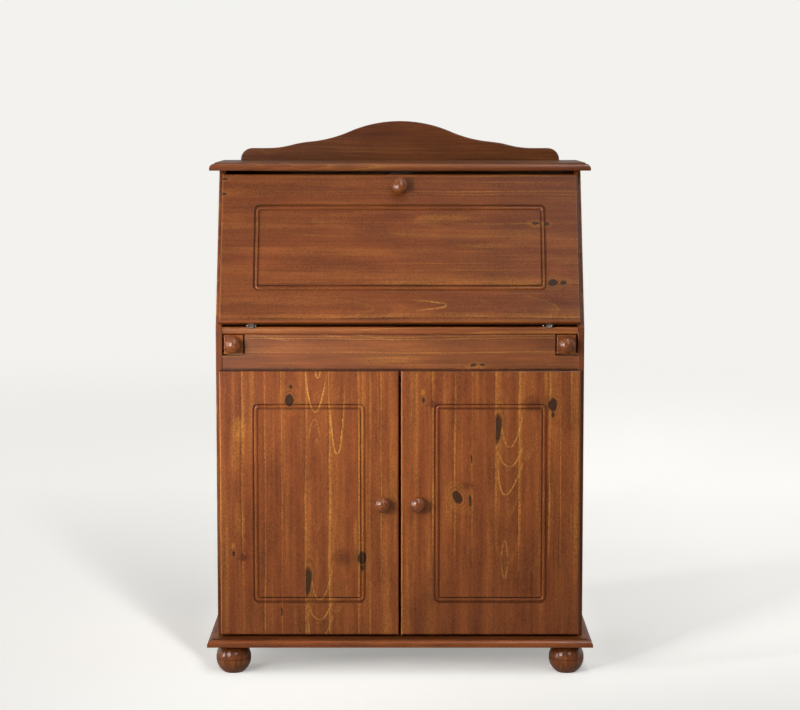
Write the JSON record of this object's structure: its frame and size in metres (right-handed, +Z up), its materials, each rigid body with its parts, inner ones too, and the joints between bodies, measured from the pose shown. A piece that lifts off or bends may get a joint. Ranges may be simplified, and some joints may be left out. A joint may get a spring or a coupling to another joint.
{
  "type": "escritoire",
  "caption": "Pine writing cabinet on ball feet with a slanted fall-front lid, pull-out lid supports, pigeonholes, a cupboard with panelled doors and a shaped crest.",
  "frame": {"origin": "on the floor, under the middle of the outer box", "axes": "+Z up, +Y towards the back, +X to the right of someone who faces the front"},
  "size_m": [0.82, 0.414, 1.175],
  "materials": {
    "stained_pine": "satin",
    "turned_pine": "satin",
    "back_board": "matte",
    "plain_beech": "matte",
    "nickel_steel": "satin",
    "zinc_steel": "satin",
    "catch_plastic": "matte"
  },
  "bodies": {
    "carcase": {"apron_rail": "stained_pine", "base_board": "stained_pine", "carcase_dowels": "plain_beech", "crest_board": "stained_pine", "cupboard_shelf": "stained_pine", "desk_board": "stained_pine", "door_catch": "catch_plastic", "foot_studs": "zinc_steel", "front_left_foot": "turned_pine", "front_right_foot": "turned_pine", "left_hinge_arms": "nickel_steel", "left_hinge_blocks": "nickel_steel", "left_loper_guide": "plain_beech", "left_loper_runner": "plain_beech", "left_side_panel": "stained_pine", "lid_catch": "catch_plastic", "lid_hinge_pins": "nickel_steel", "lid_hinge_plates": "nickel_steel", "lower_back_panel": "back_board", "pigeonhole_divider_1": "stained_pine", "pigeonhole_divider_2": "stained_pine", "pigeonhole_divider_3": "stained_pine", "pigeonhole_shelf": "stained_pine", "rear_left_foot": "turned_pine", "rear_right_foot": "turned_pine", "right_hinge_arms": "nickel_steel", "right_hinge_blocks": "nickel_steel", "right_loper_guide": "plain_beech", "right_loper_runner": "plain_beech", "right_side_panel": "stained_pine", "shelf_pins": "nickel_steel", "top_board": "stained_pine", "upper_back_panel": "back_board"},
    "lid": {"lid_panel": "stained_pine", "lid_knob": "turned_pine", "lid_knob_screw": "zinc_steel", "lid_hinge_leaves": "nickel_steel", "lid_strike_plate": "zinc_steel"},
    "left_loper": {"left_loper": "stained_pine", "left_loper_knob": "turned_pine", "left_loper_stop_peg": "plain_beech"},
    "right_loper": {"right_loper": "stained_pine", "right_loper_knob": "turned_pine", "right_loper_stop_peg": "plain_beech"},
    "left_door": {"left_door": "stained_pine", "left_door_knob": "turned_pine", "left_door_knob_screw": "zinc_steel", "left_hinge_cups": "nickel_steel", "left_hinge_pins": "nickel_steel", "left_strike_plate": "zinc_steel"},
    "right_door": {"right_door": "stained_pine", "right_door_knob": "turned_pine", "right_door_knob_screw": "zinc_steel", "right_hinge_cups": "nickel_steel", "right_hinge_pins": "nickel_steel", "right_strike_plate": "zinc_steel"}
  },
  "joints": [
    {"name": "lid_hinge", "type": "hinge", "parent": "carcase", "child": "lid", "pos_m": [0, -0.1585, 0.743], "axis": [1, 0, 0], "range_deg": [0, 111.98]},
    {"name": "left_loper_slide", "type": "slide", "parent": "carcase", "child": "left_loper", "axis": [0, -1, 0], "range_m": [0, 0.26]},
    {"name": "right_loper_slide", "type": "slide", "parent": "carcase", "child": "right_loper", "axis": [0, -1, 0], "range_m": [0, 0.26]},
    {"name": "left_door_hinge", "type": "hinge", "parent": "carcase", "child": "left_door", "pos_m": [-0.3745, -0.17, 0.3675], "axis": [0, 0, -1], "range_deg": [0, 95]},
    {"name": "right_door_hinge", "type": "hinge", "parent": "carcase", "child": "right_door", "pos_m": [0.3745, -0.17, 0.3675], "axis": [0, 0, 1], "range_deg": [0, 95]}
  ]
}
